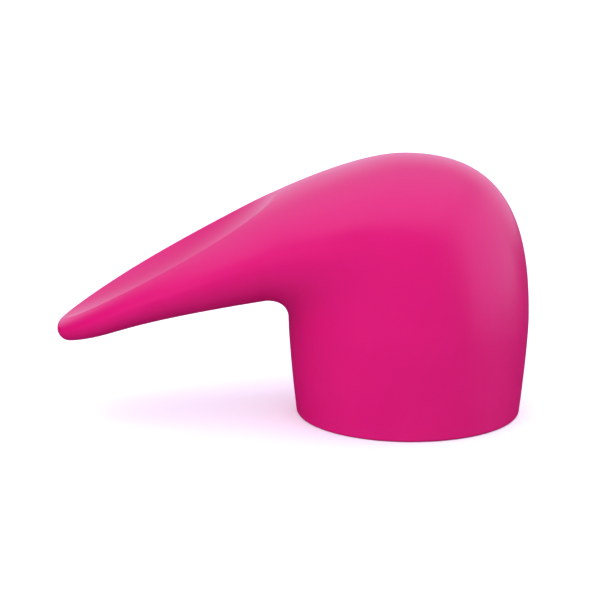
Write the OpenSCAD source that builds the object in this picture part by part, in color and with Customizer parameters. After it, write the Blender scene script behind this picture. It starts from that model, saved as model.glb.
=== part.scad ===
// Slip-on attachment cap with a bendable scooped tongue, for the round head of a handheld massager.
// Frame: +Z up. The origin is the centre of the mouth, on the plane that the cap stands on.
// The tongue reaches along -X, and the left half mirrors the right about the XZ plane.

/* [Massager head and socket] */
// Radius of the massager head that the socket takes
head_r = 29; // [25:0.5:34]
// How far the mouth closes in behind the head, on the radius
grip_depth = 3.5; // [2:0.25:5]
// Height of the straight land in the mouth, where it holds the massager's neck
land_h = 9; // [6:0.5:11]
// Height at which the socket has opened to the head's full radius
socket_open_z = 20; // [15:0.5:25]
// Height of the centre of the socket's domed end
socket_dome_z = 34; // [30:0.5:40]
// Radius of the rounded entry at the mouth's inner edge
entry_round = 1; // [0.5:0.1:1.5]

/* [Walls] */
// Thickness of the soft lip at the mouth, from the bore to the outside
lip_wall = 5.2; // [4.5:0.1:6.5]
// Thickness of the firm liner
liner_wall = 1.6; // [1.2:0.1:2.2]
// Thickness of the soft skin over the liner at the shoulder
skin_wall = 2.4; // [2:0.1:4]
// Thickness of the soft pad over the liner at the top of the dome
crown_pad = 7.3; // [5:0.1:10]

/* [Liner details] */
// Number of air notches in the mouth's lip
air_notch_count = 4; // [2:1:6]
// Width of an air notch
air_notch_w = 3; // [2:0.5:5]
// Depth of an air notch
air_notch_d = 1; // [0.5:0.1:1.5]
// Radius of a grip bead on the liner's inner wall
grip_bead_r = 0.5; // [0.3:0.1:0.8]
// Distance between grip beads
grip_bead_pitch = 5; // [4:0.5:6]

/* [Cap outside] */
// Height at which the cap is widest
shoulder_z = 26.7; // [24:0.1:31]
// How soon the skirt opens from the mouth to the shoulder: 1 is a straight cone
skirt_curve = 1.4; // [1:0.1:2]
// Radius of the mouth's rounded outer edge
mouth_round = 0.7; // [0.4:0.1:2.5]
// Fullness of the dome at its side: 0.55 is round, more is squarer
dome_side_full = 0.64; // [0.5:0.01:0.7]
// Fullness of the dome near its top
dome_top_full = 0.77; // [0.5:0.01:0.85]
// How far the top of the dome leans towards the tongue
crown_lean = 0.9; // [0:0.1:4]
// Radius of the fillet between the skirt and the tongue's underside
root_fillet = 5.8; // [4:0.1:8]

/* [Tongue outside] */
// How far the tongue reaches beyond the shoulder
tongue_reach = 62.9; // [50:0.1:76]
// Height of the nose of the tongue
nose_z = 22.2; // [18:0.1:28]
// Radius of the nose, seen from the side
nose_r = 3.4; // [2.8:0.1:4.2]
// Slope of the tongue's top at the nose, in degrees
nose_top_slope = 41.5; // [30:0.5:45]
// Slope of the tongue's underside at the nose, in degrees
nose_under_slope = 8.9; // [4:0.1:16]
// Slope of the tongue's underside at its root, in degrees
root_under_slope = 9; // [4:0.5:16]
// Length of the straight pull of the top line at the dome
top_pull_dome = 24.2; // [18:0.1:30]
// Length of the straight pull of the top line at the nose
top_pull_nose = 17.6; // [14:0.1:22]
// Length of the straight pull of the underside at the root
under_pull_root = 41.3; // [34:0.1:49]
// Length of the straight pull of the underside at the nose
under_pull_nose = 14.5; // [12:0.1:18]
// Half width of the spoon-shaped end
spoon_half_w = 19.6; // [15:0.1:24]
// Length over which the spoon rounds off to the nose
spoon_round = 48.8; // [30:0.1:56]
// Half width of the tongue where it joins the cap
root_half_w = 24; // [20:0.5:27]
// How soon the tongue flares to its root width: 1 is a straight taper
flare_curve = 1.2; // [1:0.05:2]

/* [Scoop] */
// Depth of the scoop at its deepest point
scoop_depth = 6.8; // [4:0.05:8]
// Radius of the scoop, across the tongue
scoop_r = 24.6; // [22:0.2:40]
// Distance from the nose to the end of the scoop, along the tongue
scoop_end = 70; // [60:0.5:74]
// Distance from the nose to the start of the scoop, along the tongue
scoop_start = 3; // [2:0.1:5]

/* [Spine] */
// Thickness of the stiff spine inside the tongue
spine_t = 2; // [1.6:0.1:2.6]
// Thickness of the web that lets the spine bend
web_t = 0.8; // [0.6:0.1:1.2]
// Half width of the spine at the neck
spine_half_w = 9; // [7:0.5:11]
// Half width of the spine at its outer end
spine_tip_half_w = 5.5; // [4:0.5:7]
// Distance from the tongue's underside to the middle of the spine
spine_depth = 5.2; // [4.6:0.1:6]
// Share of the tongue's length at which the bending neck starts
neck_from = 0.12; // [0.08:0.01:0.16]
// Share of the tongue's length at which the bending neck ends
neck_to = 0.32; // [0.28:0.01:0.36]
// Share of the tongue's length at which the spine ends
spine_to = 0.8; // [0.7:0.01:0.85]
// Radius of the holes that lock the soft skin to the spine
lock_hole_r = 2; // [1.5:0.1:2.5]
// Thickness of the spine's foot, which lies against the liner
foot_t = 1.6; // [1.2:0.1:2]
// Half width of the spine's foot
foot_half_w = 12; // [10:0.5:14]
// Height of the spine's foot
foot_h = 12; // [10:0.5:14]
// Radius of the two pegs on the liner that locate the spine's foot
peg_r = 2; // [1.5:0.1:2.5]
// Height of the pegs
peg_h = 1; // [0.6:0.1:1.1]
// Clearance of a peg in its hole, on the radius
peg_gap = 0.05; // [0.05:0.05:0.2]

/* [Hidden] */

// Outer sizes that follow from the head and the walls
shoulder_r = head_r + liner_wall + skin_wall;
mouth_bore_r = head_r - grip_depth;
mouth_r = mouth_bore_r + lip_wall;
top = [-crown_lean, socket_dome_z + head_r + liner_wall + crown_pad];
nose = [-shoulder_r - tongue_reach, nose_z];

// Mesh density
round_fn = 96;
rim_points = 8;
side_points = 20;
rim_least = 24;
skirt_rings = 5;
edge_rings = 4;
fan_rings = 14;
root_rings = 2;
neck_rings = 3;
tongue_rings = 12;
nose_rings = 5;
outline_steps = 48;
cut_past = 0.5;

function bezier(a, b, c, d, t) =
    pow(1 - t, 3) * a + 3 * pow(1 - t, 2) * t * b + 3 * (1 - t) * t * t * c + pow(t, 3) * d;
function curve(a, b, c, d) =
    [for (i = [0:outline_steps]) bezier(a, b, c, d, i / outline_steps)];
function mix(a, b, f) = a + (b - a) * f;
function ease(f) = f * f * (3 - 2 * f);
function heading(angle) = [cos(angle), sin(angle)];
function without_first(list) = [for (i = [1:len(list) - 1]) list[i]];
// Running length along a line of points
function run(points) =
    [for (i = 0, s = 0; i < len(points); i = i + 1,
          s = i < len(points) ? s + norm(points[i] - points[i - 1]) : s) s];
function at(keys, points, key) =
    [lookup(key, [for (i = [0:len(keys) - 1]) [keys[i], points[i].x]]),
     lookup(key, [for (i = [0:len(keys) - 1]) [keys[i], points[i].y]])];

// Nose: an arc that is tangent to the top and the underside of the tongue
axis_angle = (nose_top_slope + nose_under_slope) / 2;
nose_half = (nose_top_slope - nose_under_slope) / 2;
ahead = -heading(axis_angle);
across = [-sin(axis_angle), cos(axis_angle)];
nose_centre = nose - ahead * nose_r;
nose_over = nose_centre + nose_r * (across * cos(nose_half) + ahead * sin(nose_half));
nose_under = nose_centre + nose_r * (-across * cos(nose_half) + ahead * sin(nose_half));

// Side outline, as [x, z]: over the dome and down the tongue's top, and under the tongue
shoulder = [shoulder_r, shoulder_z];
over_dome = curve(shoulder, shoulder + [0, dome_side_full * (top.y - shoulder_z)],
                  top + [dome_top_full * (shoulder_r - top.x), 0], top);
over_tongue = curve(top, top - [top_pull_dome, 0],
                    nose_over + top_pull_nose * heading(nose_top_slope), nose_over);
over = concat(over_dome, without_first(over_tongue));
fillet_centre = [-shoulder_r - root_fillet, shoulder_z];
fan_angle = 90 + root_under_slope;
under_start = fillet_centre + root_fillet * heading(fan_angle);
under = curve(under_start, under_start - under_pull_root * heading(root_under_slope),
              nose_under + under_pull_nose * heading(nose_under_slope), nose_under);

// Tables that find a point on the outline by its angle about the fillet's centre or by its run
over_angle = [for (p = over - [for (p = over) fillet_centre])
              let (a = atan2(p.y, p.x)) a < -90 ? a + 360 : a];
over_run = run(over);
under_run = run(under);
root_run = lookup(fan_angle, [for (i = [0:len(over) - 1]) [over_angle[i], over_run[i]]]);
function tongue_over(f) = at(over_run, over, mix(root_run, over_run[len(over) - 1], f));
function tongue_under(f) = at(under_run, under, under_run[len(under) - 1] * f);
function behind_nose(p) = (p - nose) * -ahead;
root_behind = behind_nose((tongue_over(0) + tongue_under(0)) / 2);

function half_width(x) =
    let (r = 1 - min(x, spoon_round) / spoon_round, flare = pow(max(0, x / root_behind), flare_curve))
    spoon_half_w * sqrt(max(0, 1 - r * r)) + (root_half_w - spoon_half_w) * flare;
// Depth of the scoop at a distance behind the nose, 1 at its deepest
function scoop_share(x) =
    let (q = (x - scoop_start) / (scoop_end - scoop_start), fall = 0.8, peak = 1 / (1 + fall))
    q <= 0 || q >= 1 ? 0 : q * pow(1 - q, fall) / (peak * pow(1 - peak, fall));
// Angle round a section at which the scoop meets the outside. h is the section's height above its
// widest point. The rim is where the ellipse and the scoop's parabola have the same height.
function rim_angle(h, half_w, scoop) =
    let (a = 1 / (4 * scoop_r * scoop_r),
         b = (h - scoop) / scoop_r + h * h / (half_w * half_w),
         c = (h - scoop) * (h - scoop) - h * h,
         y = sqrt(max(0, (sqrt(b * b - 4 * a * c) - b) / (2 * a))))
    asin(min(1, y / half_w));

// One closed cross-section, from its low point to its high point, both as [x, z]. A point of
// every section lies on the scoop's rim.
function section(low, high, half_w, widest) =
    let (l = norm(high - low), up = (high - low) / l, h = l * (1 - widest),
         scoop = scoop_share(behind_nose(high)) * scoop_depth,
         rim = max(rim_least, rim_angle(h, half_w, scoop)),
         angles = concat([for (i = [0:rim_points]) rim * i / rim_points],
                         [for (i = [1:side_points]) rim + (180 - rim) * i / side_points]),
         last = len(angles) - 1)
    [for (a = concat(angles, [for (i = [1:last - 1]) -angles[last - i]]))
        let (y = half_w * sin(a),
             s = cos(a) * l * (cos(a) >= 0 ? 1 - widest : widest),
             cut = scoop > 0 && cos(a) > 0 ? min(s, h - scoop + y * y / (2 * scoop_r)) : s,
             p = low + up * (l * widest + cut))
        [p.x, y, p.y]];

function skirt_r(z) =
    mouth_r + (shoulder_r - mouth_r) * (1 - pow(1 - z / shoulder_z, skirt_curve));
function level(z, r) = section([-r, z], [r, z], r, 0.5);
function tongue_section(f) =
    let (low = tongue_under(f), high = tongue_over(f), x = behind_nose((low + high) / 2))
    section(low, high, half_width(x), mix(0.5, 0.55, min(1, 1.5 * f)));
function rings(from, to, count) = [for (i = [0:count]) tongue_section(mix(from, to, i / count))];

cap_sections = concat(
    [for (i = [0:edge_rings - 1])
        let (a = 90 * i / edge_rings)
        level(mouth_round * (1 - cos(a)), skirt_r(mouth_round * (1 - cos(a))) - mouth_round * (1 - sin(a)))],
    [for (i = [0:skirt_rings - 1])
        let (z = mix(mouth_round, shoulder_z, i / skirt_rings)) level(z, skirt_r(z))],
    [for (i = [0:fan_rings - 1])
        let (f = i / fan_rings, a = f * fan_angle,
             low = fillet_centre + root_fillet * heading(a), high = at(over_angle, over, a))
        section(low, high, mix(shoulder_r, root_half_w, ease(f)), 0.5)],
    rings(0, neck_from, root_rings));
nose_sections =
    [for (i = [1:nose_rings - 1])
        let (a = nose_half + (90 - nose_half) * i / nose_rings,
             middle = nose_centre + ahead * nose_r * sin(a),
             h = nose_r * cos(a),
             x = nose_r * (1 - sin(a)))
        section(middle - across * h, middle + across * h, half_width(x), 0.55)];

function centre(ring) = [for (p = ring) 1] * ring / len(ring);
// A closed solid through a list of rings. Its two ends close to a point each.
module loft(list, end_point) {
    n = len(list[0]);
    m = len(list);
    end = is_undef(end_point) ? centre(list[m - 1]) : end_point;
    points = concat([for (ring = list) for (p = ring) p], [centre(list[0]), end]);
    last = (m - 1) * n;
    faces = [for (i = [0:n - 1])
        let (j = (i + 1) % n)
        for (face = concat(
                [[i, j, m * n], [last + j, last + i, m * n + 1]],
                [for (k = [0:n:last - n]) [k + i, k + n + i, k + n + j]],
                [for (k = [0:n:last - n]) [k + i, k + n + j, k + j]]))
            face];
    polyhedron(points = points, faces = faces, convexity = 8);
}

// The socket as a solid of revolution, grown outwards by a thickness
module socket_solid(grow, from_z) {
    arc = 14;
    rotate_extrude($fn = round_fn)
        polygon(concat(
            [[0, from_z], [mouth_bore_r + grow, from_z], [mouth_bore_r + grow, land_h],
             [head_r + grow, socket_open_z]],
            [for (i = [0:arc - 1])
                [(head_r + grow) * cos(90 * i / arc),
                 socket_dome_z + (head_r + grow) * sin(90 * i / arc)]],
            [[0, socket_dome_z + head_r + grow]]));
}

// The mouth's rounded entry, as the ring of material that it takes away
module entry_cut() {
    rotate_extrude($fn = round_fn)
        difference() {
            translate([mouth_bore_r - 1, -1])
                square([entry_round + 1, entry_round + 1]);
            translate([mouth_bore_r + entry_round, entry_round])
                circle(r = entry_round, $fn = 32);
        }
}

module air_notches() {
    for (i = [0:air_notch_count - 1])
        rotate([0, 0, 360 * (i + 0.5) / air_notch_count])
            translate([mouth_bore_r - 2, -air_notch_w / 2, -1])
                cube([2 + air_notch_d, air_notch_w, land_h + 3]);
}

// Spine: flat bar sections at a share of the tongue's length
function spine_half(f) = mix(spine_half_w, spine_tip_half_w, max(0, (f - neck_to) / (spine_to - neck_to)));
function bar_section(f, t, past = 0) =
    let (low = tongue_under(f), high = tongue_over(f), up = (high - low) / norm(high - low),
         middle = low + up * spine_depth - past * [up.y, -up.x],
         a = middle - up * t / 2, b = middle + up * t / 2, w = spine_half(f))
    [[a.x, w, a.y], [a.x, -w, a.y], [b.x, -w, b.y], [b.x, w, b.y]];
function bar_sections(from, to, count, t) = [for (i = [0:count]) bar_section(mix(from, to, i / count), t)];

foot_z = shoulder_z + root_fillet + 2;
module spine_foot() {
    intersection() {
        socket_solid(liner_wall + foot_t, 0);
        translate([-shoulder_r - 5, -foot_half_w, foot_z])
            cube([shoulder_r, 2 * foot_half_w, foot_h]);
    }
}

// The bar from the foot to the neck
module root_bar() {
    start = bar_section(neck_from, spine_t);
    foot_end = [for (p = start) [-head_r + 4, p.y, mix(start[0].z, start[2].z, 0.5) + 1
                                 + (p.z > start[0].z + spine_t / 2 ? spine_t / 2 : -spine_t / 2)]];
    loft([foot_end, start]);
}

// Two bars along X, which are the pegs once cut to height, or the holes that they fit
peg_y = foot_half_w - peg_r - 2;
module peg_bars(gap) {
    for (side = [-1, 1])
        translate([-shoulder_r, side * peg_y, foot_z + foot_h / 2])
            rotate([0, 90, 0])
                cylinder(r = peg_r + gap, h = shoulder_r - head_r + 6, $fn = 32);
}

module spine_root_solid() {
    spine_foot();
    root_bar();
}

lock_at = [mix(neck_to, spine_to, 0.2), mix(neck_to, spine_to, 0.5), mix(neck_to, spine_to, 0.8)];
module lock_holes() {
    for (f = lock_at) {
        low = tongue_under(f);
        up = (tongue_over(f) - low) / norm(tongue_over(f) - low);
        middle = low + up * spine_depth;
        translate([middle.x, 0, middle.y])
            rotate([0, atan2(up.x, up.y), 0])
                cylinder(r = lock_hole_r, h = 3 * spine_t, center = true, $fn = 32);
    }
}

module blade_solid(past) {
    count = 6;
    difference() {
        loft(concat(past > 0 ? [bar_section(neck_to, spine_t, -past)] : [],
                    bar_sections(neck_to, spine_to, count, spine_t)));
        lock_holes();
    }
}

module cap_skin() {
    color("#d8187c")
        difference() {
            loft(cap_sections);
            socket_solid(0, -1);
            difference() {
                socket_solid(liner_wall, 0);
                translate([0, 0, -1])
                    cylinder(r = shoulder_r, h = 1 + land_h, $fn = round_fn);
            }
            entry_cut();
            air_notches();
            spine_root_solid();
        }
}

module flex_neck() {
    color("#d8187c")
        difference() {
            loft(rings(neck_from, neck_to, neck_rings));
            loft(concat([bar_section(neck_from, web_t, -cut_past)],
                        bar_sections(neck_from, neck_to, neck_rings, web_t),
                        [bar_section(neck_to, web_t, cut_past)]));
        }
}

module tongue_skin() {
    color("#d8187c")
        difference() {
            loft(concat(rings(neck_to, 1, tongue_rings), nose_sections), [nose.x, 0, nose.y]);
            blade_solid(cut_past);
        }
}

module socket_liner() {
    color("#8e8a90")
        difference() {
            union() {
                difference() {
                    union() {
                        difference() {
                            socket_solid(liner_wall, 0);
                            translate([0, 0, -1])
                                cylinder(r = shoulder_r, h = 1 + land_h, $fn = round_fn);
                        }
                        intersection() {
                            peg_bars(0);
                            socket_solid(liner_wall + peg_h, 0);
                        }
                    }
                    socket_solid(0, -1);
                }
                for (i = [0:2])
                    translate([0, 0, socket_open_z + 3 + i * grip_bead_pitch])
                        rotate_extrude($fn = round_fn)
                            translate([head_r, 0])
                                circle(r = grip_bead_r, $fn = 24);
            }
            air_notches();
        }
}

module spine_root() {
    color("#e9e6e0")
        difference() {
            spine_root_solid();
            socket_solid(liner_wall, 0);
            peg_bars(peg_gap);
        }
}

module spine_web() {
    color("#e9e6e0")
        loft(bar_sections(neck_from, neck_to, neck_rings, web_t));
}

module spine_blade() {
    color("#e9e6e0")
        blade_solid(0);
}

cap_skin();
flex_neck();
tongue_skin();
socket_liner();
spine_root();
spine_web();
spine_blade();
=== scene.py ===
"""Looks for a slip-on silicone massager cap with a bendable scooped tongue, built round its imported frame."""

import math

import bpy
import numpy as np
from bpy.props import FloatProperty, FloatVectorProperty, PointerProperty, StringProperty
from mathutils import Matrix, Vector


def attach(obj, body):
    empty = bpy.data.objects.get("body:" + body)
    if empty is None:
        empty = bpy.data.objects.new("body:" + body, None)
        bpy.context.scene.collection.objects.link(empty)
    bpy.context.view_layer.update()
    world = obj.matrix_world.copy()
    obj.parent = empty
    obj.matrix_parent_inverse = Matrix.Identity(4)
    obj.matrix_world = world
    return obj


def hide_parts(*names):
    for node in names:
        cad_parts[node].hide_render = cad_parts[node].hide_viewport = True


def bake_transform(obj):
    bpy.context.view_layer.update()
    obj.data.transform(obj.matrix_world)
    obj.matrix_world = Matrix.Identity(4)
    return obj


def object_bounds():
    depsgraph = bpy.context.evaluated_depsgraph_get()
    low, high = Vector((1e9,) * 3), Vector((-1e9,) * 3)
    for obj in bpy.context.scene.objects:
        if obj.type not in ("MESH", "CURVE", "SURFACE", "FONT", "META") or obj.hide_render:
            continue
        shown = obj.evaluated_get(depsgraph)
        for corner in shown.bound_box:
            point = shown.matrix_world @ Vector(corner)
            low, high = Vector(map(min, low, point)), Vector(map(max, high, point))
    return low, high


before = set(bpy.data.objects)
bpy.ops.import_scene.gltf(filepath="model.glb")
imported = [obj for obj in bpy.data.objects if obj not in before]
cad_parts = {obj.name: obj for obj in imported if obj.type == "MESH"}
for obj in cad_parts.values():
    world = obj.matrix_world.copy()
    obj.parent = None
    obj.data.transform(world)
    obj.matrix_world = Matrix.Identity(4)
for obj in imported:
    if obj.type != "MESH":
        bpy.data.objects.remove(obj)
CAD_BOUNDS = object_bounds()

bl_info = {
    "name": "Silicone massager cap",
    "version": (1, 0, 0),
    "blender": (4, 5, 0),
    "location": "3D View > Sidebar > Massager cap",
    "description": "Builds the soft skin, firm liner and spine of a slip-on massager cap, and its stage",
    "category": "Add Mesh",
}

MM = 0.001


# ---------------------------------------------------------------- settings


def length(name, description, millimetres):
    default = millimetres * MM
    return FloatProperty(name=name, description=description, default=default, unit="LENGTH", precision=4)


def angle(name, description, degrees):
    default = math.radians(degrees)
    return FloatProperty(name=name, description=description, default=default, subtype="ANGLE")


def share(name, description, default):
    return FloatProperty(
        name=name, description=description, default=default, subtype="FACTOR", soft_min=0, soft_max=1
    )


def colour(name, description, default):
    return StringProperty(name=name, description=description + ", as an sRGB hex value", default=default)


def watts(name, description, default):
    return FloatProperty(name=name, description=description, default=default, unit="POWER")


class SocketSizes(bpy.types.PropertyGroup):
    """Socket, lip and liner, as the frame has them."""

    head_r: length("Head radius", "Radius of the massager head that the socket takes", 29)
    mouth_bore_r: length("Mouth bore radius", "Radius of the straight land in the mouth", 25.5)
    land_h: length("Land height", "Height of the straight land in the mouth", 9)
    open_z: length("Open height", "Height at which the socket has its full radius", 20)
    dome_z: length("Dome centre height", "Height of the centre of the socket's domed end", 34)
    entry_round: length("Entry rounding", "Radius of the mouth's inner edge", 1)
    liner_wall: length("Liner wall", "Thickness of the firm liner", 1.6)
    notch_w: length("Air notch width", "Width of an air notch in the lip", 3)
    notch_d: length("Air notch depth", "Depth of an air notch in the lip", 1)
    bead_r: length("Grip bead radius", "Radius of a grip bead on the liner's inner wall", 0.5)
    bead_pitch: length("Grip bead pitch", "Distance between grip beads", 5)


class SkinSizes(bpy.types.PropertyGroup):
    """Outside of the soft skin, as the frame has it."""

    shoulder_r: length("Shoulder radius", "Radius of the cap where it is widest", 33)
    shoulder_z: length("Shoulder height", "Height at which the cap is widest", 26.7)
    mouth_r: length("Mouth radius", "Outer radius of the skirt at the mouth", 30.7)
    mouth_round: length("Mouth rounding", "Radius of the mouth's outer edge", 0.7)
    skirt_curve: FloatProperty(name="Skirt curve", description="How soon the skirt opens", default=1.4)
    dome_side_full: share("Dome side fullness", "Squareness of the dome at its side", 0.64)
    dome_top_full: share("Dome top fullness", "Squareness of the dome near its top", 0.77)
    crown_lean: length("Crown lean", "How far the dome's top leans towards the tongue", 0.9)
    root_fillet: length("Root fillet", "Fillet between the skirt and the tongue's underside", 5.8)
    nose_r: length("Nose radius", "Radius of the nose, seen from the side", 3.4)
    nose_z: length("Nose height", "Height of the nose of the tongue", 22.2)
    nose_top_slope: angle("Nose top slope", "Slope of the tongue's top at the nose", 41.5)
    nose_under_slope: angle("Nose under slope", "Slope of the tongue's underside at the nose", 8.9)
    root_under_slope: angle("Root under slope", "Slope of the tongue's underside at its root", 9)
    top_pull_dome: length("Top pull at dome", "Straight pull of the top line at the dome", 24.2)
    top_pull_nose: length("Top pull at nose", "Straight pull of the top line at the nose", 17.6)
    under_pull_root: length("Under pull at root", "Straight pull of the underside at the root", 41.3)
    under_pull_nose: length("Under pull at nose", "Straight pull of the underside at the nose", 14.5)
    spoon_half_w: length("Spoon half width", "Half width of the spoon-shaped end", 19.6)
    spoon_round: length("Spoon rounding", "Length over which the spoon rounds off to the nose", 48.8)
    root_half_w: length("Root half width", "Half width of the tongue at the cap", 24)
    flare_curve: FloatProperty(name="Flare curve", description="How soon the tongue flares", default=1.2)
    scoop_depth: length("Scoop depth", "Depth of the scoop at its deepest point", 6.8)
    scoop_r: length("Scoop radius", "Radius of the scoop, across the tongue", 24.6)
    scoop_start: length("Scoop start", "Distance from the nose to the start of the scoop", 3)
    scoop_end: length("Scoop end", "Distance from the nose to the end of the scoop", 70)
    rim_soft: length("Rim softness", "Rounding of the scoop's rim", 0.18)


class Finishes(bpy.types.PropertyGroup):
    """Colours of the three materials and the floor. Each has a second colour that it clouds into."""

    silicone: colour("Silicone", "Colour of the soft silicone", "#C0005C")
    silicone_cloud: colour("Silicone cloud", "Second colour of the soft silicone", "#C80161")
    silicone_shine: colour("Silicone shine", "Tint of the soft silicone's highlight", "#D8D8FF")
    liner: colour("Liner", "Colour of the firm liner", "#B8095C")
    liner_cloud: colour("Liner cloud", "Second colour of the firm liner", "#A50A52")
    spine: colour("Spine", "Colour of the spine's polypropylene", "#E9E6E0")
    spine_cloud: colour("Spine cloud", "Second colour of the spine's polypropylene", "#DAD6CE")
    floor: colour("Floor", "Colour of the floor", "#F4F4F4")
    floor_cloud: colour("Floor cloud", "Second colour of the floor", "#F8F8F8")


class StageSizes(bpy.types.PropertyGroup):
    """Camera and lights."""

    aim: FloatVectorProperty(
        name="Aim",
        description="Point that the camera looks at",
        default=(-0.0298, 0, 0.0314),
        subtype="TRANSLATION",
    )
    distance: length("Distance", "Distance from the camera to the point it looks at", 800)
    elevation: angle("Elevation", "Height of the camera above the horizontal", 14.6)
    lens: FloatProperty(
        name="Lens", description="Focal length on a 36 mm wide sensor", default=174.9, unit="CAMERA"
    )
    floor_size: length("Floor size", "Side of the square floor", 8000)
    box_tint: colour("Light tint", "Tint of the soft boxes and the room", "#EAE8FF")
    top_power: watts("Top box", "Power of the large soft box overhead", 15.5)
    back_power: watts("Back strip", "Power of the long soft box behind", 8.5)
    front_power: watts("Front strip", "Power of the long soft box in front", 11.5)
    left_power: watts("Left box", "Power of the soft box at the left, towards the front", 6.2)
    right_power: watts("Right box", "Power of the soft box at the right", 6.8)
    glow_power: watts("Floor glow", "Power of the light that lies on the paper and stands for its glow", 7.5)
    world_strength: share("Room light", "Strength of the light from the room's walls", 0.3)


# ---------------------------------------------------------------- outlines and sections


def bezier(a, b, c, d, steps=160):
    t = np.linspace(0, 1, steps + 1)[:, None]
    return (1 - t) ** 3 * a + 3 * (1 - t) ** 2 * t * b + 3 * (1 - t) * t * t * c + t**3 * d


def heading(a):
    return np.array([math.cos(a), math.sin(a)])


def running_length(points):
    return np.concatenate([[0], np.cumsum(np.linalg.norm(np.diff(points, axis=0), axis=1))])


def along(keys, points, key):
    return np.array([np.interp(key, keys, points[:, 0]), np.interp(key, keys, points[:, 1])])


def ease(f):
    return f * f * (3 - 2 * f)


class SideOutline:
    """The cap and tongue seen from the side, as [x, z] lines, and what follows from them."""

    def __init__(self, s):
        self.s = s
        low, high = CAD_BOUNDS
        top = np.array([-s.crown_lean, high[2]])
        self.nose = np.array([low[0], s.nose_z])
        axis = (s.nose_top_slope + s.nose_under_slope) / 2
        self.nose_half = (s.nose_top_slope - s.nose_under_slope) / 2
        self.ahead = -heading(axis)
        self.across = np.array([-math.sin(axis), math.cos(axis)])
        self.nose_centre = self.nose - self.ahead * s.nose_r
        tangent = math.cos(self.nose_half) * self.across
        onward = math.sin(self.nose_half) * self.ahead
        nose_over = self.nose_centre + s.nose_r * (tangent + onward)
        nose_under = self.nose_centre + s.nose_r * (onward - tangent)
        shoulder = np.array([s.shoulder_r, s.shoulder_z])
        over_dome = bezier(
            shoulder,
            shoulder + [0, s.dome_side_full * (top[1] - s.shoulder_z)],
            top + [s.dome_top_full * (s.shoulder_r - top[0]), 0],
            top,
        )
        over_tongue = bezier(
            top,
            top - [s.top_pull_dome, 0],
            nose_over + s.top_pull_nose * heading(s.nose_top_slope),
            nose_over,
        )
        self.over = np.vstack([over_dome, over_tongue[1:]])
        self.fillet_centre = np.array([-s.shoulder_r - s.root_fillet, s.shoulder_z])
        self.fan_angle = math.pi / 2 + s.root_under_slope
        start = self.fillet_centre + s.root_fillet * heading(self.fan_angle)
        self.under = bezier(
            start,
            start - s.under_pull_root * heading(s.root_under_slope),
            nose_under + s.under_pull_nose * heading(s.nose_under_slope),
            nose_under,
        )
        arm = self.over - self.fillet_centre
        self.over_angle = np.unwrap(np.arctan2(arm[:, 1], arm[:, 0]))
        self.over_run = running_length(self.over)
        self.under_run = running_length(self.under)
        self.root_run = np.interp(self.fan_angle, self.over_angle, self.over_run)
        self.root_behind = self.behind_nose((self.tongue_over(0) + self.tongue_under(0)) / 2)

    def tongue_over(self, f):
        return along(self.over_run, self.over, self.root_run + f * (self.over_run[-1] - self.root_run))

    def tongue_under(self, f):
        return along(self.under_run, self.under, f * self.under_run[-1])

    def behind_nose(self, p):
        return float((p - self.nose) @ -self.ahead)

    def half_width(self, x):
        s = self.s
        r = 1 - min(x, s.spoon_round) / s.spoon_round
        flare = max(0, x / self.root_behind) ** s.flare_curve
        return s.spoon_half_w * math.sqrt(max(0, 1 - r * r)) + (s.root_half_w - s.spoon_half_w) * flare

    def scoop(self, x):
        s = self.s
        q = (x - s.scoop_start) / (s.scoop_end - s.scoop_start)
        if not 0 < q < 1:
            return 0.0
        fall = 0.8
        peak = 1 / (1 + fall)
        return s.scoop_depth * q * (1 - q) ** fall / (peak * (1 - peak) ** fall)


# Points round half a section: on the scoop's floor, and from its rim round the outside to the underside
FLOOR_POINTS = 44
SIDE_POINTS = 76
# How strongly the points crowd towards the rim from either side
FLOOR_CROWD = 1.7
SIDE_CROWD = 1.4
# Angle of the rim's ring where there is no scoop
RIM_LEAST = math.radians(24)
# Angle at which a domed end stops short of its pole, which one point closes
DOME_STOP = math.radians(88)


def rim_angle(h, half_w, scoop, scoop_r):
    """Angle at which the ellipse and the scoop's parabola have the same height."""
    a = 1 / (4 * scoop_r**2)
    b = (h - scoop) / scoop_r + (h / half_w) ** 2
    c = (h - scoop) ** 2 - h * h
    y = math.sqrt(max(0, (math.sqrt(b * b - 4 * a * c) - b) / (2 * a)))
    return math.asin(min(1, y / half_w))


def section(outline, low, high, half_w, widest):
    """A closed ring of points. They crowd towards the scoop's rim, and one lies on it."""
    s = outline.s
    size = np.linalg.norm(high - low)
    up = (high - low) / size
    h = size * (1 - widest)
    scoop = outline.scoop(outline.behind_nose(high))
    rim = max(RIM_LEAST, rim_angle(h, half_w, scoop, s.scoop_r))
    floor_a = rim * (1 - (1 - np.linspace(0, 1, FLOOR_POINTS + 1)) ** FLOOR_CROWD)
    side_a = rim + (math.pi - rim) * np.linspace(0, 1, SIDE_POINTS + 1)[1:] ** SIDE_CROWD
    half = np.concatenate([floor_a, side_a])
    a = np.concatenate([half, -half[-2:0:-1]])
    y = half_w * np.sin(a)
    height = np.cos(a) * size * np.where(np.cos(a) >= 0, 1 - widest, widest)
    if scoop > 0:
        floor = h - scoop + y * y / (2 * s.scoop_r)
        soft = min(s.rim_soft, 0.35 * scoop)
        blend = np.clip(0.5 + (floor - height) / (2 * soft), 0, 1)
        cut = floor + (height - floor) * blend - soft * blend * (1 - blend)
        height = np.where(np.cos(a) > 0, cut, height)
    p = low[None, :] + up[None, :] * (size * widest + height)[:, None]
    return np.stack([p[:, 0], y, p[:, 1]], 1)


def circle(outline, r, z):
    return section(outline, np.array([-r, z]), np.array([r, z]), r, 0.5)


def skirt_radius(s, z):
    return s.mouth_r + (s.shoulder_r - s.mouth_r) * (1 - (1 - z / s.shoulder_z) ** s.skirt_curve)


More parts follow.
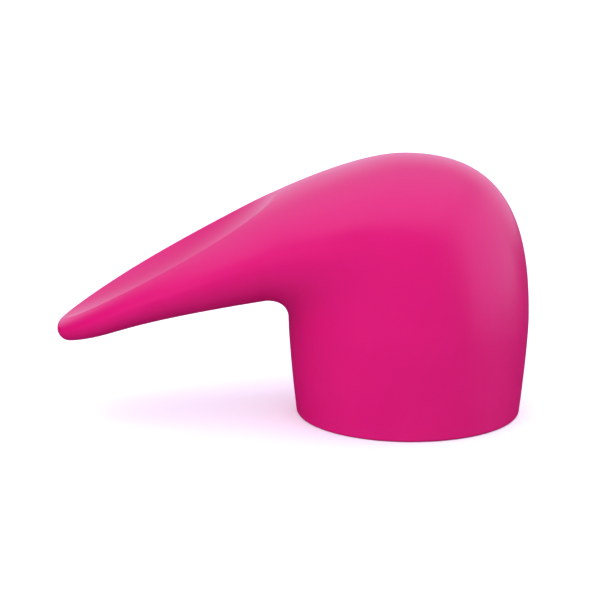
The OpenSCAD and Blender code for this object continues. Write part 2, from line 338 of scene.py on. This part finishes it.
def notched(ring, depth, socket):
    """The ring with the air notches pressed outwards into it, their sides drafted as a mould needs."""
    if depth <= 0:
        return ring
    count = 4
    turn = np.arctan2(ring[:, 1], ring[:, 0])
    r = np.hypot(ring[:, 0], ring[:, 1])
    off = np.abs((turn / (2 * math.pi / count)) % 1 - 0.5) * (2 * math.pi / count) * r
    draft = 0.5 * MM
    push = depth * (1 - ease(np.clip((off - socket.notch_w / 2 + draft) / draft, 0, 1)))
    scale = (r + push) / r
    return np.stack([ring[:, 0] * scale, ring[:, 1] * scale, ring[:, 2]], 1)


def skin_rings(s, socket):
    """Rings of the whole skin: down the cavity wall, round the lip, up the skirt and out over the tongue."""
    o = SideOutline(s)
    rings = []
    wall = socket.liner_wall
    cavity_r = socket.head_r + wall
    for a in np.linspace(DOME_STOP, 0, 20):
        rings.append(circle(o, cavity_r * math.cos(a), socket.dome_z + cavity_r * math.sin(a)))
    for z in np.linspace(socket.open_z, socket.land_h, 6):
        f = (z - socket.land_h) / (socket.open_z - socket.land_h)
        rings.append(circle(o, socket.mouth_bore_r + wall + f * (socket.head_r - socket.mouth_bore_r), z))
    for z in np.linspace(socket.land_h, socket.entry_round, 10):
        rings.append(notched(circle(o, socket.mouth_bore_r, z), socket.notch_d, socket))
    for a in np.linspace(0, math.pi / 2, 8)[1:]:
        r = socket.mouth_bore_r + socket.entry_round * (1 - math.cos(a))
        depth = max(0, socket.notch_d - (r - socket.mouth_bore_r))
        rings.append(notched(circle(o, r, socket.entry_round * (1 - math.sin(a))), depth, socket))
    for a in np.linspace(0, math.pi / 2, 14)[:-1]:
        z = s.mouth_round * (1 - math.cos(a))
        rings.append(circle(o, skirt_radius(s, z) - s.mouth_round * (1 - math.sin(a)), z))
    for z in np.linspace(s.mouth_round, s.shoulder_z, 27)[:-1]:
        rings.append(circle(o, skirt_radius(s, z), z))
    for f in np.linspace(0, 1, 61)[:-1]:
        a = f * o.fan_angle
        low = o.fillet_centre + s.root_fillet * heading(a)
        high = along(o.over_angle, o.over, a)
        width = s.shoulder_r + (s.root_half_w - s.shoulder_r) * ease(f)
        rings.append(section(o, low, high, width, 0.5))
    for f in np.linspace(0, 1, 100):
        low, high = o.tongue_under(f), o.tongue_over(f)
        x = o.behind_nose((low + high) / 2)
        rings.append(section(o, low, high, o.half_width(x), 0.5 + 0.05 * min(1, 1.5 * f)))
    for a in np.linspace(o.nose_half, math.pi / 2, 14)[1:-1]:
        middle = o.nose_centre + o.ahead * s.nose_r * math.sin(a)
        h = s.nose_r * math.cos(a)
        x = s.nose_r * (1 - math.sin(a))
        rings.append(section(o, middle - o.across * h, middle + o.across * h, o.half_width(x), 0.55))
    return rings, o


def loft(name, rings, first_point, last_point):
    """A closed mesh through rings of equal count, with a point at each end."""
    n, m = len(rings[0]), len(rings)
    points = np.vstack([*rings, [first_point], [last_point]])
    i = np.arange(n)
    j = (i + 1) % n
    quads = [np.stack([k * n + i, k * n + j, (k + 1) * n + j, (k + 1) * n + i], 1) for k in range(m - 1)]
    faces = np.vstack(quads).tolist()
    faces += np.stack([j, i, np.full(n, n * m)], 1).tolist()
    faces += np.stack([(m - 1) * n + i, (m - 1) * n + j, np.full(n, n * m + 1)], 1).tolist()
    mesh = bpy.data.meshes.new(name)
    mesh.from_pydata(points.tolist(), [], faces)
    mesh.validate()
    mesh.shade_smooth()
    piece = bpy.data.objects.new(name, mesh)
    bpy.context.scene.collection.objects.link(piece)
    return piece


# ---------------------------------------------------------------- materials


def linear(hex_colour):
    """The linear RGBA of an sRGB hex value such as #C0005C."""
    levels = [int(hex_colour[k : k + 2], 16) / 255 for k in (1, 3, 5)]
    return [v / 12.92 if v <= 0.04045 else ((v + 0.055) / 1.055) ** 2.4 for v in levels] + [1.0]


def add_node(tree, kind, settings=(), links=()):
    """Adds a node. settings sets attributes or input sockets; links joins (input, from_node, output)."""
    node = tree.nodes.new(kind)
    for key, value in dict(settings).items():
        if isinstance(key, str) and hasattr(node, key):
            setattr(node, key, value)
        else:
            node.inputs[key].default_value = value
    for key, source, output in links:
        tree.links.new(source.outputs[output], node.inputs[key])
    return node


def new_material(name, diffuse):
    material = bpy.data.materials.new(name)
    material.use_nodes = True
    material.node_tree.nodes.clear()
    material.diffuse_color = diffuse
    return material, material.node_tree


def finish_material(tree, shader):
    add_node(tree, "ShaderNodeOutputMaterial", {}, [("Surface", shader, "BSDF")])


def soft_silicone(finishes):
    """Platinum-cured silicone moulded in a bead-blasted steel mould.

    The blasted mould gives a fine matte tooth and a broad satin highlight. Light enters the rubber and comes
    out a few millimetres away, so thin edges glow and shadows stay warm."""
    material, tree = new_material("moulded_silicone_satin", linear(finishes.silicone))
    place = add_node(tree, "ShaderNodeTexCoord")
    cloud = add_node(
        tree,
        "ShaderNodeTexNoise",
        {"Scale": 1 / (18 * MM), "Detail": 3.0, "Roughness": 0.5},
        [("Vector", place, "Object")],
    )
    tint = add_node(
        tree,
        "ShaderNodeMix",
        {"data_type": "RGBA", 6: linear(finishes.silicone), 7: linear(finishes.silicone_cloud)},
        [(0, cloud, "Fac")],
    )
    # The blasted tooth is about 0.05 mm on the real part, drawn at 0.35 mm so that it shows
    tooth = add_node(
        tree, "ShaderNodeTexNoise", {"Scale": 1 / (0.35 * MM), "Detail": 2.0}, [("Vector", place, "Object")]
    )
    bump = add_node(
        tree, "ShaderNodeBump", {"Strength": 0.12, "Distance": 0.05 * MM}, [("Height", tooth, "Fac")]
    )
    rough = add_node(
        tree,
        "ShaderNodeMapRange",
        {"From Min": 0.3, "From Max": 0.7, "To Min": 0.36, "To Max": 0.42},
        [("Value", cloud, "Fac")],
    )
    shader = add_node(
        tree,
        "ShaderNodeBsdfPrincipled",
        {
            "IOR": 1.41,
            "Subsurface Weight": 0.35,
            "Subsurface Radius": (2.6, 0.35, 0.9),
            "Subsurface Scale": 1 * MM,
            "Specular IOR Level": 0.8,
            "Specular Tint": linear(finishes.silicone_shine),
        },
        [("Base Color", tint, 2), ("Normal", bump, "Normal"), ("Roughness", rough, "Result")],
    )
    finish_material(tree, shader)
    return material


def firm_silicone(finishes):
    """Firm silicone of the liner, pressed in a polished mould: deeper in colour, glossier and less cloudy."""
    material, tree = new_material("firm_silicone_liner", linear(finishes.liner))
    place = add_node(tree, "ShaderNodeTexCoord")
    flow = add_node(
        tree, "ShaderNodeTexNoise", {"Scale": 1 / (9 * MM), "Detail": 4.0}, [("Vector", place, "Object")]
    )
    tint = add_node(
        tree,
        "ShaderNodeMix",
        {"data_type": "RGBA", 6: linear(finishes.liner), 7: linear(finishes.liner_cloud)},
        [(0, flow, "Fac")],
    )
    bump = add_node(
        tree, "ShaderNodeBump", {"Strength": 0.1, "Distance": 0.2 * MM}, [("Height", flow, "Fac")]
    )
    shader = add_node(
        tree,
        "ShaderNodeBsdfPrincipled",
        {"IOR": 1.43, "Roughness": 0.34, "Subsurface Weight": 0.15, "Subsurface Scale": 0.6 * MM},
        [("Base Color", tint, 2), ("Normal", bump, "Normal")],
    )
    finish_material(tree, shader)
    return material


def natural_polypropylene(finishes):
    """Uncoloured polypropylene, injection moulded: milky, waxy, with faint flow lines along the blade.

    The flow lines are about 1.1 mm apart across the blade and 17 mm long."""
    material, tree = new_material("natural_polypropylene", linear(finishes.spine))
    place = add_node(tree, "ShaderNodeTexCoord")
    along_blade, across_blade = 60, 900
    lines = {"Scale": (along_blade, across_blade, across_blade)}
    stretch = add_node(tree, "ShaderNodeMapping", lines, [("Vector", place, "Object")])
    flow = add_node(
        tree, "ShaderNodeTexNoise", {"Scale": 1.0, "Detail": 2.0}, [("Vector", stretch, "Vector")]
    )
    tint = add_node(
        tree,
        "ShaderNodeMix",
        {"data_type": "RGBA", 6: linear(finishes.spine), 7: linear(finishes.spine_cloud)},
        [(0, flow, "Fac")],
    )
    bump = add_node(
        tree, "ShaderNodeBump", {"Strength": 0.1, "Distance": 0.05 * MM}, [("Height", flow, "Fac")]
    )
    shader = add_node(
        tree,
        "ShaderNodeBsdfPrincipled",
        {"IOR": 1.49, "Roughness": 0.38, "Subsurface Weight": 0.3, "Subsurface Scale": 1 * MM},
        [("Base Color", tint, 2), ("Normal", bump, "Normal")],
    )
    finish_material(tree, shader)
    return material


def pale_floor(finishes):
    """Matt white paper sweep: it stays white to its edges, and takes a faint soft shadow under the part."""
    material, tree = new_material("white_paper_sweep", linear(finishes.floor))
    place = add_node(tree, "ShaderNodeTexCoord")
    fibre = add_node(
        tree, "ShaderNodeTexNoise", {"Scale": 1 / (2.5 * MM), "Detail": 3.0}, [("Vector", place, "Object")]
    )
    tint = add_node(
        tree,
        "ShaderNodeMix",
        {"data_type": "RGBA", 6: linear(finishes.floor), 7: linear(finishes.floor_cloud)},
        [(0, fibre, "Fac")],
    )
    shader = add_node(
        tree,
        "ShaderNodeBsdfPrincipled",
        {"Roughness": 0.9, "Emission Color": linear("#FFFFFF"), "Emission Strength": 0.18},
        [("Base Color", tint, 2)],
    )
    finish_material(tree, shader)
    return material


# ---------------------------------------------------------------- operators


# Gap between the liner's outside and the seat in the skin
LINER_GAP = 0.05 * MM


class MASSAGERCAP_OT_soft_skin(bpy.types.Operator):
    """Build the one-piece soft skin of the cap, neck and tongue"""

    bl_idname = "massagercap.soft_skin"
    bl_label = "Soft skin"

    def execute(self, context):
        scene = context.scene
        socket = scene.cap_socket
        rings, outline = skin_rings(scene.cap_skin, socket)
        crown = [0, 0, socket.dome_z + socket.head_r + socket.liner_wall]
        skin = loft("soft_skin", rings, crown, [outline.nose[0], 0, outline.nose[1]])
        skin.data.materials.append(soft_silicone(scene.cap_finishes))
        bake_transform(skin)
        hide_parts("cap_skin", "flex_neck", "tongue_skin")
        return {"FINISHED"}


class MASSAGERCAP_OT_liner(bpy.types.Operator):
    """Build the firm liner: a turned cup with grip beads and air notches"""

    bl_idname = "massagercap.liner"
    bl_label = "Firm liner"

    def execute(self, context):
        s = context.scene.cap_socket
        outline = SideOutline(context.scene.cap_skin)
        inner = []
        for a in np.linspace(DOME_STOP, 0, 40)[:-1]:
            inner.append((s.head_r * math.cos(a), s.dome_z + s.head_r * math.sin(a)))
        lowest_bead = s.open_z + 3 * MM
        for k in (2, 1, 0):
            bead = lowest_bead + k * s.bead_pitch
            for a in np.linspace(math.pi / 2, -math.pi / 2, 9):
                inner.append((s.head_r - s.bead_r * math.cos(a), bead + s.bead_r * math.sin(a)))
        for z in np.linspace(s.open_z, s.land_h, 8):
            f = (z - s.land_h) / (s.open_z - s.land_h)
            inner.append((s.mouth_bore_r + f * (s.head_r - s.mouth_bore_r), z))
        cover = s.liner_wall - LINER_GAP
        rings = []
        for r, z in inner:
            depth = max(0, s.mouth_bore_r + s.notch_d - r) if z < s.open_z else 0
            rings.append(notched(circle(outline, r, z), depth, s))
        rings += [circle(outline, r, z) for r, z in self.outer_profile(s, cover)]
        top = s.dome_z + s.head_r
        liner = loft("socket_liner_cup", rings, [0, 0, top], [0, 0, top + cover])
        liner.data.materials.append(firm_silicone(context.scene.cap_finishes))
        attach(liner, "cap")
        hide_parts("socket_liner")
        return {"FINISHED"}

    @staticmethod
    def outer_profile(s, cover):
        for z in np.linspace(s.land_h, s.open_z, 6):
            f = (z - s.land_h) / (s.open_z - s.land_h)
            yield s.mouth_bore_r + cover + f * (s.head_r - s.mouth_bore_r), z
        for a in np.linspace(0, DOME_STOP, 24):
            yield (s.head_r + cover) * math.cos(a), s.dome_z + (s.head_r + cover) * math.sin(a)


class MASSAGERCAP_OT_spine(bpy.types.Operator):
    """Give the three stretches of the spine their moulded finish"""

    bl_idname = "massagercap.spine"
    bl_label = "Spine"

    def execute(self, context):
        material = natural_polypropylene(context.scene.cap_finishes)
        for name in ("spine_root", "spine_web", "spine_blade"):
            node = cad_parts[name]
            node.data.materials.clear()
            node.data.materials.append(material)
        return {"FINISHED"}


class MASSAGERCAP_OT_stage(bpy.types.Operator):
    """Set the floor, the lights and the camera"""

    bl_idname = "massagercap.stage"
    bl_label = "Stage"

    def execute(self, context):
        scene = context.scene
        settings = scene.cap_stage
        self.floor(scene, settings)
        aim = Vector(settings.aim)
        tint = linear(settings.box_tint)

        def soft_box(name, offset, width, height, power):
            """A rectangular light that faces the aim, from an offset in metres."""
            data = bpy.data.lights.new(name, "AREA")
            data.shape = "RECTANGLE"
            data.size, data.size_y = width, height
            data.energy = power
            data.color = tint[:3]
            light = bpy.data.objects.new(name, data)
            scene.collection.objects.link(light)
            light.location = aim + Vector(offset)
            light.rotation_euler = Vector(offset).to_track_quat("Z", "Y").to_euler()
            return light

        # One large soft box overhead, long strips behind and in front, and smaller boxes at the sides
        soft_box("top_box", offset=(0, 0, 1), width=1.8, height=1.8, power=settings.top_power)
        soft_box("back_strip", offset=(0, 0.94, 0.33), width=2.4, height=0.8, power=settings.back_power)
        front = soft_box("front_strip", (0, -0.97, 0.24), width=2.4, height=0.6, power=settings.front_power)
        left = soft_box("left_box", (-0.8, -0.5, 0.3), width=0.8, height=0.8, power=settings.left_power)
        soft_box("right_box", offset=(0.96, 0, 0.29), width=1.3, height=1.0, power=settings.right_power)
        just_above_floor = (0, 0, 0.4 * MM - aim.z)
        glow = soft_box("floor_glow", just_above_floor, width=2.0, height=2.0, power=settings.glow_power)
        glow.visible_camera = False
        # The fill lights brighten the rubber without drawing a highlight on it
        for fill in (front, left, glow):
            fill.visible_glossy = False
        self.world(scene, tint)
        camera_data = bpy.data.cameras.new("camera")
        camera_data.lens = settings.lens
        camera_data.sensor_width = 36
        camera = bpy.data.objects.new("camera", camera_data)
        scene.collection.objects.link(camera)
        back = Vector((0, -math.cos(settings.elevation), math.sin(settings.elevation)))
        camera.location = aim + back * settings.distance
        camera.rotation_euler = back.to_track_quat("Z", "Y").to_euler()
        scene.camera = camera
        scene.view_settings.view_transform = "Standard"
        return {"FINISHED"}

    @staticmethod
    def floor(scene, settings):
        half = settings.floor_size / 2
        mesh = bpy.data.meshes.new("floor")
        corners = [(-half, -half, 0), (half, -half, 0), (half, half, 0), (-half, half, 0)]
        mesh.from_pydata(corners, [], [(0, 1, 2, 3)])
        floor = bpy.data.objects.new("floor", mesh)
        scene.collection.objects.link(floor)
        floor.data.materials.append(pale_floor(scene.cap_finishes))
        # The glow light stands in for what the paper throws up on the rubber, without its pale reflection
        floor.visible_diffuse = False
        floor.visible_glossy = False

    @staticmethod
    def world(scene, tint):
        world = bpy.data.worlds.new("studio")
        world.use_nodes = True
        background = world.node_tree.nodes["Background"]
        background.inputs["Color"].default_value = tint
        background.inputs["Strength"].default_value = scene.cap_stage.world_strength
        scene.world = world
        world.cycles_visibility.glossy = False


class MASSAGERCAP_PT_panel(bpy.types.Panel):
    """Builds the cap's pieces and its stage"""

    bl_idname = "MASSAGERCAP_PT_panel"
    bl_label = "Massager cap"
    bl_space_type = "VIEW_3D"
    bl_region_type = "UI"
    bl_category = "Massager cap"

    def draw(self, context):
        for operator in OPERATORS:
            self.layout.operator(operator.bl_idname)
        for name in SETTINGS:
            group = getattr(context.scene, name)
            column = self.layout.column()
            for key in group.__annotations__:
                column.prop(group, key)


SETTINGS = {
    "cap_socket": SocketSizes,
    "cap_skin": SkinSizes,
    "cap_finishes": Finishes,
    "cap_stage": StageSizes,
}
OPERATORS = (MASSAGERCAP_OT_soft_skin, MASSAGERCAP_OT_liner, MASSAGERCAP_OT_spine, MASSAGERCAP_OT_stage)


def register():
    for name, group in SETTINGS.items():
        bpy.utils.register_class(group)
        setattr(bpy.types.Scene, name, PointerProperty(type=group))
    for item in (*OPERATORS, MASSAGERCAP_PT_panel):
        bpy.utils.register_class(item)


def unregister():
    for item in reversed((*OPERATORS, MASSAGERCAP_PT_panel)):
        bpy.utils.unregister_class(item)
    for name, group in reversed(SETTINGS.items()):
        delattr(bpy.types.Scene, name)
        bpy.utils.unregister_class(group)


def main():
    register()
    bpy.ops.massagercap.stage()
    bpy.ops.massagercap.soft_skin()
    bpy.ops.massagercap.liner()
    bpy.ops.massagercap.spine()


if __name__ == "__main__":
    main()
